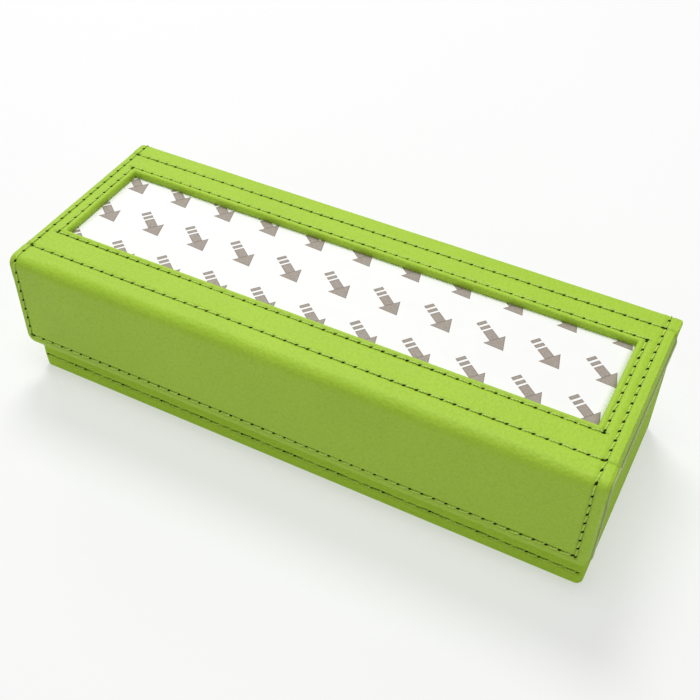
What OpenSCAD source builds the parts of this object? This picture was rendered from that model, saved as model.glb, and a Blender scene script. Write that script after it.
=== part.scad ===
// Card deck box: a leather-covered tray for card decks, a hinged lid with a label
// window, and a soft front flap that holds itself shut with magnets.
// Millimetres. X is the length, the flap faces -Y, Z is up. The origin is at the
// middle of the box's footprint, on the surface that it stands on.

/* [Overall] */
// Length of the lid and its flap
lid_length = 207.5; // [185:0.5:260]
// Depth from the flap's face to the rear face
box_depth = 78.2; // [67:0.1:110]
// Height of the closed box
box_height = 52.2; // [44:0.1:80]
// Length of the tray
tray_length = 204.7; // [182:0.1:257]
// How far the tray sits to the right of the lid's middle
tray_shift = 0.5; // [0:0.1:1]

/* [Sheet thicknesses] */
// Leatherette of the wrap: rear panel, lid and flap
cover_t = 1; // [0.7:0.1:1.4]
// Frame board of the lid, which sets the window's depth
lid_board_t = 1.5; // [1:0.1:2.5]
// Backing board under the window
backing_t = 1; // [0.6:0.1:2]
// Lining of the lid and flap
lid_lining_t = 0.6; // [0.4:0.1:1]
// Board in the flap
flap_board_t = 1.5; // [1.2:0.1:2.5]
// Leatherette of the tray
tray_cover_t = 0.8; // [0.6:0.1:1.2]
// Boards of the tray's walls
tray_board_t = 1.5; // [1.2:0.1:3]
// Board of the tray's floor
floor_board_t = 2; // [1.2:0.1:4]
// Lining of the card bays
bay_lining_t = 0.5; // [0.3:0.1:1]
// Dark sheet under the tray
bottom_sheet_t = 0.3; // [0.3:0.1:1.5]
// Double-sided adhesive sheet in the window
adhesive_t = 0.2; // [0.1:0.05:0.4]
// Release liner on the adhesive sheet
liner_t = 0.2; // [0.1:0.05:0.4]

/* [Folds] */
// Outer radius of the soft front bend
front_bend_r = 7.2; // [4:0.1:9]
// Outer radius of the rear corner
rear_bend_r = 2.2; // [2.2:0.1:4]
// Distance from the flap's face to the front fold stitching
front_fold_inset = 9.2; // [8:0.1:14]
// Distance from the rear face to the rear fold stitching
rear_fold_inset = 7.6; // [5.6:0.1:12]
// How far the lid's boards stop short of the fold stitching
fold_margin = 0.8; // [0.5:0.1:2]

/* [Window] */
// Length of the window opening
window_length = 188.8; // [60:0.2:190]
// Depth of the window opening, front to back
window_depth = 39; // [15:0.2:40]
// How far the window's middle sits behind the lid's middle
window_back = 1.9; // [0:0.1:3]
// Thickness of the leather rim turned into the window
rim_t = 1; // [0.6:0.1:1.5]
// Distance from the opening to the stitching round it
window_stitch_inset = 2.4; // [1.8:0.1:4]

/* [Flap] */
// Height of the flap, from the lid's top down
flap_height = 37.6; // [24:0.1:42]
// Radius of the flap's lower corners
flap_corner_r = 3; // [1.5:0.1:8]
// Distance from the flap's lower edge to its stitching
flap_stitch_inset = 3.5; // [2:0.1:6]
// Distance down from the bend's end to the flap's board
flap_board_drop = 1.2; // [0.8:0.1:5]

/* [Magnets] */
// Diameter of each flap magnet
magnet_d = 10; // [6:0.5:12]
// Thickness of each flap magnet
magnet_t = 1; // [0.6:0.1:1.1]
// Diameter of each keeper plate in the tray's front
keeper_d = 12; // [8:0.5:14]
// Thickness of each keeper plate
keeper_t = 0.8; // [0.5:0.1:1]
// Distance between the two magnets
magnet_spacing = 110; // [50:1:150]
// Height of the magnets above the flap's lower edge
magnet_rise = 11; // [9:0.5:13]

/* [Tray] */
// Radius of the tray's upright corners
tray_corner_r = 1.6; // [1:0.1:3]
// How far the tray's leather turns in over the rim
rim_turn_in = 8; // [5:0.5:20]
// How far the dark sheet sits in from the tray's edge
bottom_sheet_inset = 1; // [1:0.1:6]
// Board inside the divider
divider_board_t = 1.4; // [1:0.1:3]
// Distance from the turned-in leather's edge down to the divider's top
divider_drop = 1; // [0.5:0.5:20]
// Height of the stitching on the tray's front
tray_stitch_height = 6.1; // [4:0.1:9]

/* [Stitching] */
// How far the window and the stitching sit to the left of the lid's middle
stitch_shift = 1; // [0:0.1:1.5]
// Distance from the lid's end to the side stitching, before that shift
side_stitch_inset = 3.2; // [3:0.1:5]
// Distance between needle holes
stitch_pitch = 4.1; // [3:0.1:6]
// Gap between one stitch and the next
stitch_gap = 0.9; // [0.6:0.1:1.4]
// Width of a stitch
stitch_w = 0.6; // [0.4:0.1:0.9]
// How far a stitch stands out of the leather
stitch_h = 0.25; // [0.15:0.05:0.4]

/* [Clearances] */
// Gap between the lid's lining and the tray's rim
lid_gap = 0.3; // [0.2:0.1:1]
// Gap between the flap's lining and the tray's front
flap_gap = 0.6; // [0.4:0.1:1.5]
// Gap where the wrap is cut at each fold
fold_gap = 0.4; // [0.3:0.1:0.8]
// How far each hinge line sits outside the leather
hinge_stand_off = 0.1; // [0:0.05:0.2]
// Side clearance of loose sheets and discs
fit_gap = 0.1; // [0.05:0.05:0.3]

/* [Hidden] */
$fn = 64;

// Colours
leather_colour = [0.62, 0.76, 0.24];
thread_colour = [0.55, 0.70, 0.20];
lining_colour = [0.78, 0.82, 0.62];
board_colour = [0.55, 0.53, 0.50];

// Wrap section, in the YZ plane
big = 4 * (lid_length + box_depth + box_height);
y_front = -box_depth / 2;
y_rear = box_depth / 2;
front_centre = [y_front + front_bend_r, box_height - front_bend_r];
rear_centre = [y_rear - rear_bend_r, box_height - rear_bend_r];
lid_t = cover_t + lid_board_t + backing_t + lid_lining_t;
flap_t = cover_t + flap_board_t + lid_lining_t;

// Lid
front_stitch_y = y_front + front_fold_inset;
rear_stitch_y = y_rear - rear_fold_inset;
lid_board_front = front_stitch_y + fold_margin;
lid_board_rear = rear_stitch_y - fold_margin;
lid_board_depth = lid_board_rear - lid_board_front;
lid_board_z = box_height - cover_t - lid_board_t;
backing_z = lid_board_z - backing_t;
lid_lining_z = box_height - lid_t;
lining_length = lid_length - cover_t;
window_x = -stitch_shift;

// Flap
flap_z = box_height - flap_height;
flap_board_top = front_centre[1] - flap_board_drop;
flap_board_y = y_front + cover_t;
flap_lining_y = flap_board_y + flap_board_t;
magnet_z = flap_z + magnet_rise;
magnet_x = magnet_spacing / 2;

// Tray
tray_front = y_front + flap_t + flap_gap;
tray_rear = y_rear - cover_t;
tray_depth = tray_rear - tray_front;
tray_mid_y = (tray_rear + tray_front) / 2;
tray_top = lid_lining_z - lid_gap;
back_top = rear_centre[1];
wall_board_inset = tray_cover_t + tray_board_t;
tray_wall_t = wall_board_inset + bay_lining_t;
floor_board_z = bottom_sheet_t + tray_cover_t;
board_base_z = floor_board_z + floor_board_t;
turn_in_z = tray_top - rim_turn_in;
tray_left = tray_shift - tray_length / 2;
tray_right = tray_shift + tray_length / 2;
divider_t = divider_board_t + 2 * bay_lining_t;
divider_top = turn_in_z - divider_drop;

// Stitching: distance along the wrap's outer face, from the flap's lower edge
flap_flat = front_centre[1] - flap_z;
front_arc = front_bend_r * PI / 2;
top_flat = box_depth - front_bend_r - rear_bend_r;
rear_arc = rear_bend_r * PI / 2;
front_split = flap_flat + front_arc / 2;
rear_split = flap_flat + front_arc + top_flat + rear_arc / 2;
wrap_end = rear_split + rear_arc / 2 + rear_centre[1] - tray_stitch_height;
side_start = flap_stitch_inset;
side_count = round((wrap_end - side_start) / stitch_pitch);
side_pitch = (wrap_end - side_start) / side_count;
side_x = lid_length / 2 - side_stitch_inset;
window_stitch_l = window_length + 2 * window_stitch_inset;
window_stitch_d = window_depth + 2 * window_stitch_inset;
front_split_clear = (side_pitch + fold_gap) / 2;
rear_split_clear = side_pitch / 2 + 1.2;

// A point on the wrap's outer face, as [y, z, tilt], at distance s along it
function wrap_point(s) =
    s < flap_flat ? [y_front, flap_z + s, 90]
    : s < flap_flat + front_arc ? arc_point(front_centre, front_bend_r,
        180 - (s - flap_flat) / front_arc * 90)
    : s < flap_flat + front_arc + top_flat
        ? [front_centre[0] + s - flap_flat - front_arc, box_height, 0]
    : s < flap_flat + front_arc + top_flat + rear_arc
        ? arc_point(rear_centre, rear_bend_r,
            90 - (s - flap_flat - front_arc - top_flat) / rear_arc * 90)
    : [y_rear, rear_centre[1] - (s - flap_flat - front_arc - top_flat - rear_arc), -90];
function arc_point(centre, r, angle) =
    [centre[0] + r * cos(angle), centre[1] + r * sin(angle), angle - 90];

// ---- Helpers ----

// Draws a YZ section along X
module along_x(length, middle = 0) {
    translate([middle - length / 2, 0, 0])
        rotate([90, 0, 90])
            linear_extrude(length)
                children();
}

// Box from a lower corner to an upper corner
module block(low, high) {
    translate(low) cube(high - low);
}

// Everything inside the wrap's outer face, moved in by inset
module wrap_region(inset) {
    translate([y_front + inset, 0])
        square([front_bend_r - inset, front_centre[1]]);
    translate([front_centre[0], 0])
        square([rear_centre[0] - front_centre[0], box_height - inset]);
    translate([rear_centre[0], 0])
        square([rear_bend_r - inset, rear_centre[1]]);
    translate(front_centre) circle(front_bend_r - inset);
    translate(rear_centre) circle(rear_bend_r - inset);
}

// One layer of the wrap, from inset to inset + thickness
module wrap_layer(inset, thickness) {
    difference() {
        wrap_region(inset);
        wrap_region(inset + thickness);
    }
}

// The side of a fold that lies in the given direction from the bend's centre
module fold_side(centre, direction) {
    translate(centre)
        rotate(direction)
            translate([fold_gap / 2, -big / 2])
                square(big);
}

module lid_span() {
    intersection() {
        fold_side(front_centre, 45);
        fold_side(rear_centre, 135);
    }
}

module flap_span() {
    fold_side(front_centre, 225);
}

module rear_span() {
    fold_side(rear_centre, -45);
}

// Rectangle with round corners, centred
module round_rect(size, r) {
    square([size[0] - 2 * r, size[1]], center = true);
    square([size[0], size[1] - 2 * r], center = true);
    for (x = [-1, 1], y = [-1, 1])
        translate([x * (size[0] / 2 - r), y * (size[1] / 2 - r)])
            circle(r);
}

// The flap's outline seen from the front, moved in by inset and as deep as the flap
module flap_outline(inset) {
    height = 2 * (box_height - flap_z - inset);
    translate([0, y_front + front_bend_r, box_height])
        rotate([90, 0, 0])
            linear_extrude(front_bend_r)
                round_rect([lid_length - 2 * inset, height], flap_corner_r - inset / 2);
}

module disc(x, y, z, d, t) {
    translate([x, y, z]) rotate([-90, 0, 0]) cylinder(h = t, d = d);
}

// ---- Stitches ----

module stitch(length) {
    translate([-length / 2, -stitch_w / 2, 0]) cube([length, stitch_w, stitch_h]);
}

// A straight row of stitches along X, centred, lying on Z = 0
module stitch_row(run) {
    count = round(run / stitch_pitch);
    pitch = run / count;
    for (i = [0 : count - 1])
        translate([(i + 0.5) * pitch - run / 2, 0, 0])
            stitch(pitch - stitch_gap);
}

// Both side rows, from one distance along the wrap to another
module side_rows(from, to) {
    for (i = [0 : side_count - 1]) {
        s = side_start + (i + 0.5) * side_pitch;
        p = wrap_point(s);
        if (s > from && s < to)
            for (side = [-1, 1])
                translate([side * side_x - stitch_shift, p[0], p[1]])
                    rotate([p[2], 0, 0])
                        rotate(90)
                            stitch(side_pitch - stitch_gap);
    }
}

// ---- Tray ----

module tray_footprint(inset) {
    translate([tray_shift, tray_mid_y])
        round_rect([tray_length - 2 * inset, tray_depth - 2 * inset],
            max(tray_corner_r - inset, 0.3));
}

module bottom_sheet() {
    color([0.12, 0.12, 0.11])
        linear_extrude(bottom_sheet_t)
            tray_footprint(bottom_sheet_inset);
}

module floor_board() {
    color(board_colour)
        block([tray_left + tray_cover_t, tray_front + tray_cover_t, floor_board_z],
            [tray_right - tray_cover_t, tray_rear - tray_cover_t, board_base_z]);
}

module front_board() {
    y = tray_front + tray_cover_t;
    color(board_colour)
        difference() {
            block([tray_left + tray_cover_t, y, board_base_z],
                [tray_right - tray_cover_t, y + tray_board_t, tray_top - tray_cover_t]);
            for (side = [-1, 1])
                disc(side * magnet_x - stitch_shift, y - fit_gap, magnet_z,
                    keeper_d + 2 * fit_gap, keeper_t + fit_gap);
        }
}

module keeper_plates() {
    color("silver")
        for (side = [-1, 1])
            disc(side * magnet_x - stitch_shift, tray_front + tray_cover_t, magnet_z,
                keeper_d, keeper_t);
}

module back_board() {
    y = tray_rear - tray_cover_t;
    color(board_colour)
        block([tray_left + tray_cover_t, y - tray_board_t, board_base_z],
            [tray_right - tray_cover_t, y, back_top - tray_cover_t]);
}

// One end board, with its outer face at x and its body on the given side
module end_board(x, side) {
    inner = x + side * tray_board_t;
    color(board_colour)
        block([min(x, inner), tray_front + wall_board_inset, board_base_z],
            [max(x, inner), tray_rear - wall_board_inset, tray_top - tray_cover_t]);
}

module left_end_board() {
    end_board(tray_left + tray_cover_t, 1);
}

module right_end_board() {
    end_board(tray_right - tray_cover_t, -1);
}

// Leather outside, over the rim and a little way down inside, and under the floor
module tray_cover() {
    color(leather_colour) {
        difference() {
            union() {
                translate([0, 0, bottom_sheet_t])
                    linear_extrude(tray_top - bottom_sheet_t)
                        tray_footprint(0);
                // the back wall stands higher, under the rear strip of the lid
                intersection() {
                    linear_extrude(back_top) tray_footprint(0);
                    block([-big, tray_rear - tray_wall_t, tray_top - tray_cover_t],
                        [big, tray_rear, back_top]);
                }
            }
            // room for the boards, under the leather that covers the rim
            block([tray_left + tray_cover_t, tray_front + tray_cover_t, floor_board_z],
                [tray_right - tray_cover_t, tray_rear - tray_cover_t,
                    tray_top - tray_cover_t]);
            block([tray_left + tray_cover_t, tray_rear - wall_board_inset, floor_board_z],
                [tray_right - tray_cover_t, tray_rear - tray_cover_t,
                    back_top - tray_cover_t]);
            // the bays
            block([tray_left + tray_wall_t, tray_front + tray_wall_t, floor_board_z],
                [tray_right - tray_wall_t, tray_rear - tray_wall_t, big]);
        }
        turn_in();
    }
}

// The leather turned in over the rim, lying on the inner faces of the boards
module turn_in() {
    difference() {
        block([tray_left + wall_board_inset, tray_front + wall_board_inset, turn_in_z],
            [tray_right - wall_board_inset, tray_rear - wall_board_inset,
                tray_top - tray_cover_t]);
        block([tray_left + tray_wall_t, tray_front + tray_wall_t, 0],
            [tray_right - tray_wall_t, tray_rear - tray_wall_t, big]);
    }
}

// Lining of one bay: floor and three walls, from the tray's end at end_x to the
// divider, which lies in the given direction
module bay_lining(end_x, direction) {
    length = direction * (tray_shift - end_x) - divider_t / 2;
    y = tray_front + wall_board_inset;
    depth = tray_depth - 2 * wall_board_inset;
    color(lining_colour)
        translate([end_x, y, board_base_z])
            mirror([direction < 0 ? 1 : 0, 0, 0])
                difference() {
                    cube([length, depth, turn_in_z - board_base_z]);
                    translate([bay_lining_t, bay_lining_t, bay_lining_t])
                        cube([length, depth - 2 * bay_lining_t, big]);
                }
}

module left_bay_lining() {
    bay_lining(tray_left + wall_board_inset, 1);
}

module right_bay_lining() {
    bay_lining(tray_right - wall_board_inset, -1);
}

// A block as deep as the space between the front and back boards, on the divider's line
module divider_block(thickness, depth_outset, top) {
    x = thickness / 2;
    block([tray_shift - x, tray_front + wall_board_inset - depth_outset, board_base_z],
        [tray_shift + x, tray_rear - wall_board_inset + depth_outset, top]);
}

module divider_board() {
    color(board_colour) divider_block(divider_board_t, 0, divider_top - bay_lining_t);
}

module divider_cover() {
    color(lining_colour)
        difference() {
            divider_block(divider_t, 0, divider_top);
            divider_block(divider_board_t, 1, divider_top - bay_lining_t);
        }
}

module rear_panel_cover() {
    color(leather_colour)
        along_x(tray_length, tray_shift)
            intersection() {
                wrap_layer(0, cover_t);
                rear_span();
                translate([0, bottom_sheet_t]) square(big);
            }
}

module rear_panel_stitching() {
    color(thread_colour) {
        side_rows(rear_split + rear_split_clear, wrap_end);
        translate([-stitch_shift, y_rear, tray_stitch_height])
            rotate([-90, 0, 0])
                stitch_row(2 * side_x - stitch_pitch);
    }
}

module tray_front_stitching() {
    color(thread_colour)
        translate([tray_shift, tray_front, tray_stitch_height])
            rotate([90, 0, 0])
                stitch_row(tray_length - 2 * tray_corner_r - stitch_gap);
}

// ---- Lid ----

module window_block(outset, low_z, high_z) {
    x = window_length / 2 + outset;
    y = window_depth / 2 + outset;
    block([window_x - x, window_back - y, low_z], [window_x + x, window_back + y, high_z]);
}

module lid_cover() {
    color(leather_colour)
        difference() {
            union() {
                along_x(lid_length)
                    intersection() {
                        wrap_layer(0, cover_t);
                        lid_span();
                    }
                // leather turned down over both ends of the boards
                for (side = [0, 1])
                    mirror([side, 0, 0])
                        block([lid_length / 2 - cover_t, lid_board_front, backing_z],
                            [lid_length / 2, lid_board_rear, box_height - cover_t]);
                // rim turned down into the window
                window_block(rim_t, lid_board_z, box_height - cover_t);
            }
            window_block(0, 0, big);
        }
}

module lid_board() {
    x = lid_length / 2 - cover_t;
    color(board_colour)
        difference() {
            block([-x, lid_board_front, lid_board_z],
                [x, lid_board_rear, box_height - cover_t]);
            window_block(rim_t, 0, big);
        }
}

module window_backing_board() {
    x = lid_length / 2 - cover_t;
    color(board_colour)
        block([-x, lid_board_front, backing_z], [x, lid_board_rear, lid_board_z]);
}

module adhesive_sheet() {
    color([0.9, 0.9, 0.86])
        window_block(-fit_gap, lid_board_z, lid_board_z + adhesive_t);
}

module release_liner() {
    z = lid_board_z + adhesive_t;
    color("white") window_block(-fit_gap, z, z + liner_t);
}

// Lining under the boards, up their front and rear edges and on under the leather
module lid_lining() {
    color(lining_colour)
        along_x(lining_length)
            intersection() {
                lid_span();
                union() {
                    translate([lid_board_front - lid_lining_t, lid_lining_z])
                        square([lid_board_depth + 2 * lid_lining_t, lid_lining_t]);
                    for (y = [lid_board_front - lid_lining_t, lid_board_rear])
                        translate([y, lid_lining_z])
                            square([lid_lining_t, lid_t - cover_t]);
                    difference() {
                        wrap_layer(cover_t, lid_lining_t);
                        translate([lid_board_front, 0]) square([lid_board_depth, big]);
                    }
                }
            }
}

module lid_side_stitching() {
    color(thread_colour)
        side_rows(front_split + front_split_clear, rear_split - rear_split_clear);
}

module window_stitching() {
    color(thread_colour)
        translate([window_x, window_back, box_height])
            for (side = [-1, 1]) {
                translate([0, side * window_stitch_d / 2, 0])
                    stitch_row(window_stitch_l);
                translate([side * window_stitch_l / 2, 0, 0])
                    rotate(90)
                        stitch_row(window_stitch_d - stitch_pitch / 2);
            }
}

// A row across the lid, kept clear of the side rows
module fold_row(y) {
    color(thread_colour)
        translate([-stitch_shift, y, box_height])
            stitch_row(2 * side_x - stitch_pitch / 2);
}

module rear_fold_stitching() {
    fold_row(rear_stitch_y);
}

module front_fold_stitching() {
    fold_row(front_stitch_y);
}

// ---- Flap ----

module flap_cover() {
    color(leather_colour)
        intersection() {
            flap_outline(0);
            union() {
                along_x(lid_length)
                    intersection() {
                        wrap_layer(0, cover_t);
                        flap_span();
                    }
                // leather turned over the lower edge and both ends of the board
                difference() {
                    block([-lid_length / 2, flap_board_y, flap_z],
                        [lid_length / 2, flap_lining_y, flap_board_top]);
                    flap_outline(cover_t);
                }
            }
        }
}

module flap_board() {
    color(board_colour)
        difference() {
            intersection() {
                flap_outline(cover_t);
                block([-big, flap_board_y, 0], [big, flap_lining_y, flap_board_top]);
            }
            for (side = [-1, 1])
                disc(side * magnet_x - stitch_shift, flap_lining_y - magnet_t - fit_gap,
                    magnet_z, magnet_d + 2 * fit_gap, magnet_t + 2 * fit_gap);
        }
}

module flap_magnets() {
    color("silver")
        for (side = [-1, 1])
            disc(side * magnet_x - stitch_shift, flap_lining_y - magnet_t, magnet_z,
                magnet_d, magnet_t);
}

// Lining behind the board, over its top edge and on under the leather
module flap_lining() {
    color(lining_colour)
        intersection() {
            flap_outline(cover_t / 2);
            along_x(lining_length)
                union() {
                    translate([flap_lining_y, flap_z])
                        square([lid_lining_t, flap_board_top + lid_lining_t - flap_z]);
                    translate([flap_board_y, flap_board_top])
                        square([flap_board_t, lid_lining_t]);
                    intersection() {
                        wrap_layer(cover_t, lid_lining_t);
                        flap_span();
                        translate([y_front, flap_board_top]) square(big);
                    }
                }
        }
}

module flap_stitching() {
    color(thread_colour) {
        side_rows(0, front_split - front_split_clear);
        translate([-stitch_shift, y_front, flap_z + flap_stitch_inset])
            rotate([90, 0, 0])
                stitch_row(2 * side_x - stitch_pitch / 2);
    }
}

bottom_sheet();
floor_board();
front_board();
back_board();
left_end_board();
right_end_board();
tray_cover();
left_bay_lining();
right_bay_lining();
divider_board();
divider_cover();
keeper_plates();
rear_panel_cover();
rear_panel_stitching();
tray_front_stitching();
lid_cover();
lid_board();
window_backing_board();
lid_lining();
adhesive_sheet();
release_liner();
lid_side_stitching();
window_stitching();
rear_fold_stitching();
front_fold_stitching();
flap_cover();
flap_board();
flap_lining();
flap_magnets();
flap_stitching();
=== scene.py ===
import math

import bpy
import numpy as np
from mathutils import Matrix, Vector


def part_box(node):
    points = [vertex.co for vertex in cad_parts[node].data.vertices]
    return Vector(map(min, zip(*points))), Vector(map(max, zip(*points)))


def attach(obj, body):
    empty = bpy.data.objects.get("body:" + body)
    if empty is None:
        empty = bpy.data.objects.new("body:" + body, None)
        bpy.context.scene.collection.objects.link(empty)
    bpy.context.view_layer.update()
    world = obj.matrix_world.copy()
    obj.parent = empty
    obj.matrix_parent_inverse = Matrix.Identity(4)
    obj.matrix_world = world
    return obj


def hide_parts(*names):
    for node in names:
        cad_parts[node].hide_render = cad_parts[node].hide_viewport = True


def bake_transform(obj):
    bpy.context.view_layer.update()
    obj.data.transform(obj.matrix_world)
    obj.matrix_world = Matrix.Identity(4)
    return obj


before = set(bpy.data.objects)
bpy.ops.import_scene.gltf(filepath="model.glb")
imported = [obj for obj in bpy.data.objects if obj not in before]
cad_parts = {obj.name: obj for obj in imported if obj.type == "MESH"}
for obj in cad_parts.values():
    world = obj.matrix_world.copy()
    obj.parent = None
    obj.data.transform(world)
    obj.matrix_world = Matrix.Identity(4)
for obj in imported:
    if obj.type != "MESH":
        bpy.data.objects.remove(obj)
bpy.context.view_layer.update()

# Lengths are in millimetres, in the frame's own axes, and become metres where a mesh is made.
MM = 0.001


def node_box(name):
    """Lowest and highest corner of a CAD node, in millimetres."""
    low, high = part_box(name)
    return np.array(low) / MM, np.array(high) / MM


# ------------------------ sizes from the frame
lid_high = node_box("lid_cover")[1]
flap_low = node_box("flap_cover")[0]
tray_low, tray_high = node_box("tray_cover")
rear_low, rear_high = node_box("rear_panel_cover")
board_low, board_high = node_box("lid_board")
lid_lining_low = node_box("lid_lining")[0]
flap_board_high = node_box("flap_board")[1]
liner_low, liner_high = node_box("release_liner")
front_board_high = node_box("front_board")[1]
divider_low, divider_high = node_box("divider_cover")
left_bay_low, left_bay_high = node_box("left_bay_lining")
right_bay_low, right_bay_high = node_box("right_bay_lining")

HALF = lid_high[0]
TOP = lid_high[2]
FRONT = flap_low[1]
REAR = rear_high[1]

# The wrap: one leather sheet, followed from the flap's lower edge to the foot of the rear.
# s is the distance along it.
FRONT_BEND = 7.2
REAR_BEND = 2.2
LEATHER = 1.0
LINING = 0.6
FLAP_CORNER = 3.0
# The leather's own radius in the front bend, in the middle and at the ends of the wrap
MIDDLE_R, END_R = 4.6, 3.2
# How far in from an end the radius changes
EAR_FADE = 22.0
front_centre = (FRONT + FRONT_BEND, TOP - FRONT_BEND)
rear_centre = (REAR - REAR_BEND, TOP - REAR_BEND)
S_BEND = front_centre[1] - flap_low[2]
S_TOP = S_BEND + FRONT_BEND * math.pi / 2
S_CORNER = S_TOP + rear_centre[0] - front_centre[0]
S_REAR = S_CORNER + REAR_BEND * math.pi / 2
S_END = S_REAR + rear_centre[1] - rear_low[2]

# Stitching
STITCH_PITCH = 4.1
STITCH_GAP = 0.9
THREAD_W = 0.6
# Where the side rows start, which is also the height of the flap's lower row
SIDE_START = 3.5


def smooth(t):
    """A soft step from 0 to 1 as t goes from 0 to 1."""
    t = np.clip(t, 0, 1)
    return t * t * (3 - 2 * t)


def s_of(y):
    """Distance along the wrap of a point on the flat top."""
    return S_TOP + y - front_centre[0]


def wrap_face(s):
    """The wrap's outer face and its outward normal, as y, z, ny, nz."""
    front_turn = np.clip((s - S_BEND) / FRONT_BEND, 0, math.pi / 2)
    rear_turn = np.clip((s - S_CORNER) / REAR_BEND, 0, math.pi / 2)
    normal = math.pi - front_turn - rear_turn
    ny, nz = np.cos(normal), np.sin(normal)
    y = front_centre[0] + np.clip(s - S_TOP, 0, S_CORNER - S_TOP)
    y = y + FRONT_BEND * np.minimum(ny, 0) + REAR_BEND * np.maximum(ny, 0)
    z = TOP - FRONT_BEND * (1 - np.sin(front_turn)) - REAR_BEND * (1 - np.cos(rear_turn))
    z = z - np.maximum(S_BEND - s, 0) - np.maximum(s - S_REAR, 0)
    return y, z, ny, nz


def square_up(turn, radius):
    """How far a tighter bend stands out from the wide one, at a turn through the bend."""
    shift = FRONT_BEND - radius
    along = shift * (np.cos(turn) + np.sin(turn))
    arc = along + np.sqrt(np.maximum(along ** 2 - 2 * shift ** 2 + radius ** 2, 0))
    flat = FRONT_BEND / np.maximum(np.cos(turn), np.sin(turn))
    is_flat = np.tan(np.minimum(turn, math.pi / 2 - turn)) < shift / FRONT_BEND
    return np.where(is_flat, flat, arc) - FRONT_BEND


def ear(s, x):
    """How far the leather stands out at the front bend, most at the ends of the wrap."""
    turn = np.clip((s - S_BEND) / FRONT_BEND, 0, math.pi / 2)
    at_end = smooth(1 - (HALF - np.abs(x)) / EAR_FADE)
    middle = square_up(turn, MIDDLE_R)
    return middle + (square_up(turn, END_R) - middle) * at_end


def on_wrap(s, x, depth):
    """Points under the wrap's outer face, at distance s along it and a depth into the box."""
    y, z, ny, nz = wrap_face(np.asarray(s, float))
    depth = depth - ear(s, x)
    return np.stack(np.broadcast_arrays(x, y - depth * ny, z - depth * nz), -1)


def on_tray_front(s, x, depth):
    """Points under the tray's front face, where s is the height."""
    return np.stack(np.broadcast_arrays(x, tray_low[1] + depth, s), -1)


# ------------------------ meshes
def make_piece(name, points, faces, material, marks=None):
    """A smooth mesh piece from points in millimetres. marks are point attributes."""
    mesh = bpy.data.meshes.new(name)
    mesh.from_pydata((np.asarray(points, float) * MM).tolist(), [], [list(f) for f in faces])
    mesh.validate()
    for mark, values in (marks or {}).items():
        mesh.attributes.new(mark, "FLOAT", "POINT").data.foreach_set(
            "value", np.asarray(values, np.float32))
    mesh.polygons.foreach_set("use_smooth", [True] * len(mesh.polygons))
    mesh.materials.append(material)
    mesh.update()
    piece = bpy.data.objects.new(name, mesh)
    bpy.context.scene.collection.objects.link(piece)
    return piece


class Builder:
    """Gathers points, faces and one painted-shade mark per point for a piece."""

    def __init__(self):
        self.points, self.faces, self.marks, self.count = [], [], [], 0

    def add(self, points, mark=0.0):
        points = np.asarray(points, float).reshape(-1, 3)
        self.points.append(points)
        self.marks.append(np.broadcast_to(np.asarray(mark, float).ravel(), len(points)))
        start = self.count
        self.count += len(points)
        return start

    def piece(self, name, material):
        points = np.concatenate(self.points)
        faces = np.concatenate([f.reshape(-1, 4) for f in self.faces])
        used = np.unique(faces)
        renumber = np.zeros(len(points), int)
        renumber[used] = np.arange(len(used))
        # The one mark per point is the painted shade in grooves
        marks = {"painted_shade": np.concatenate(self.marks)[used]}
        return make_piece(name, points[used], renumber[faces], material, marks)


# ------------------------ stitching rows
# Shape of a row: its groove, the swelling beside it, the dimples and the width of the painted
# shade in the groove
GROOVE_DEPTH, GROOVE_W = 0.13, 0.70
SWELL, SWELL_AT, SWELL_W = 0.09, 1.6, 0.8
DIMPLE_DEPTH, DIMPLE_R = 0.22, 0.75
GROOVE_SHADE_W = 0.45
ROW_FADE = 1.5
# How far the grooves of the two fold rows, and their painted shade, run on past their last holes
FOLD_RUN_ON = 8.0


class Row:
    """A straight row of needle holes. It runs across the wrap, along X at one s, or along
    the wrap, at one x. Its groove runs on past the last holes by the fade."""

    def __init__(self, across, at, middle, run, fade=ROW_FADE):
        self.across, self.at, self.fade = across, at, fade
        self.count = round(run / STITCH_PITCH)
        self.pitch = run / self.count
        self.first = middle - run / 2
        self.last = middle + run / 2

    def split(self, s, x):
        """Distance sideways from the row, and position along it."""
        return (s - self.at, x) if self.across else (x - self.at, s)

    def places(self, shift, count, limits):
        """Positions one stitch apart along the row, as far as they lie between the limits."""
        at = self.first + (np.arange(count) + shift) * self.pitch
        return at[(at > limits[0]) & (at < limits[1])]

    def beside(self, place, side, run, depth):
        """Points on a surface at distances sideways from the row and along it."""
        if self.across:
            return place(self.at + side, run, depth)
        return place(run, self.at + side, depth)

    def relief(self, s, x):
        """Depth that the row presses into the leather."""
        side, run = self.split(s, x)
        inside = smooth((run - self.first + self.fade) / ROW_FADE)
        inside = inside * smooth((self.last - run + self.fade) / ROW_FADE)
        hole = np.clip(np.round((run - self.first) / self.pitch), 0, self.count)
        offset = run - self.first - hole * self.pitch
        groove = GROOVE_DEPTH * np.exp(-(side / GROOVE_W) ** 2)
        swell = SWELL * np.exp(-((np.abs(side) - SWELL_AT) / SWELL_W) ** 2)
        dimple = DIMPLE_DEPTH * np.exp(-(side ** 2 + offset ** 2) / DIMPLE_R ** 2)
        return inside * (groove - swell + dimple)

    def near(self, s, x):
        """How much painted shade a point gets in the row's groove, from 0 to 1."""
        side, run = self.split(s, x)
        inside = (run > self.first - self.fade) & (run < self.last + self.fade)
        return np.exp(-(side / GROOVE_SHADE_W) ** 2) * inside


half_w = THREAD_W / 2
side_low, side_high = node_box("lid_side_stitching")
window_low, window_high = node_box("window_stitching")
fold_low, fold_high = node_box("front_fold_stitching")
rear_fold_low, rear_fold_high = node_box("rear_fold_stitching")
panel_row_low = node_box("rear_panel_stitching")[0]
tray_row_low, tray_row_high = node_box("tray_front_stitching")

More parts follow.
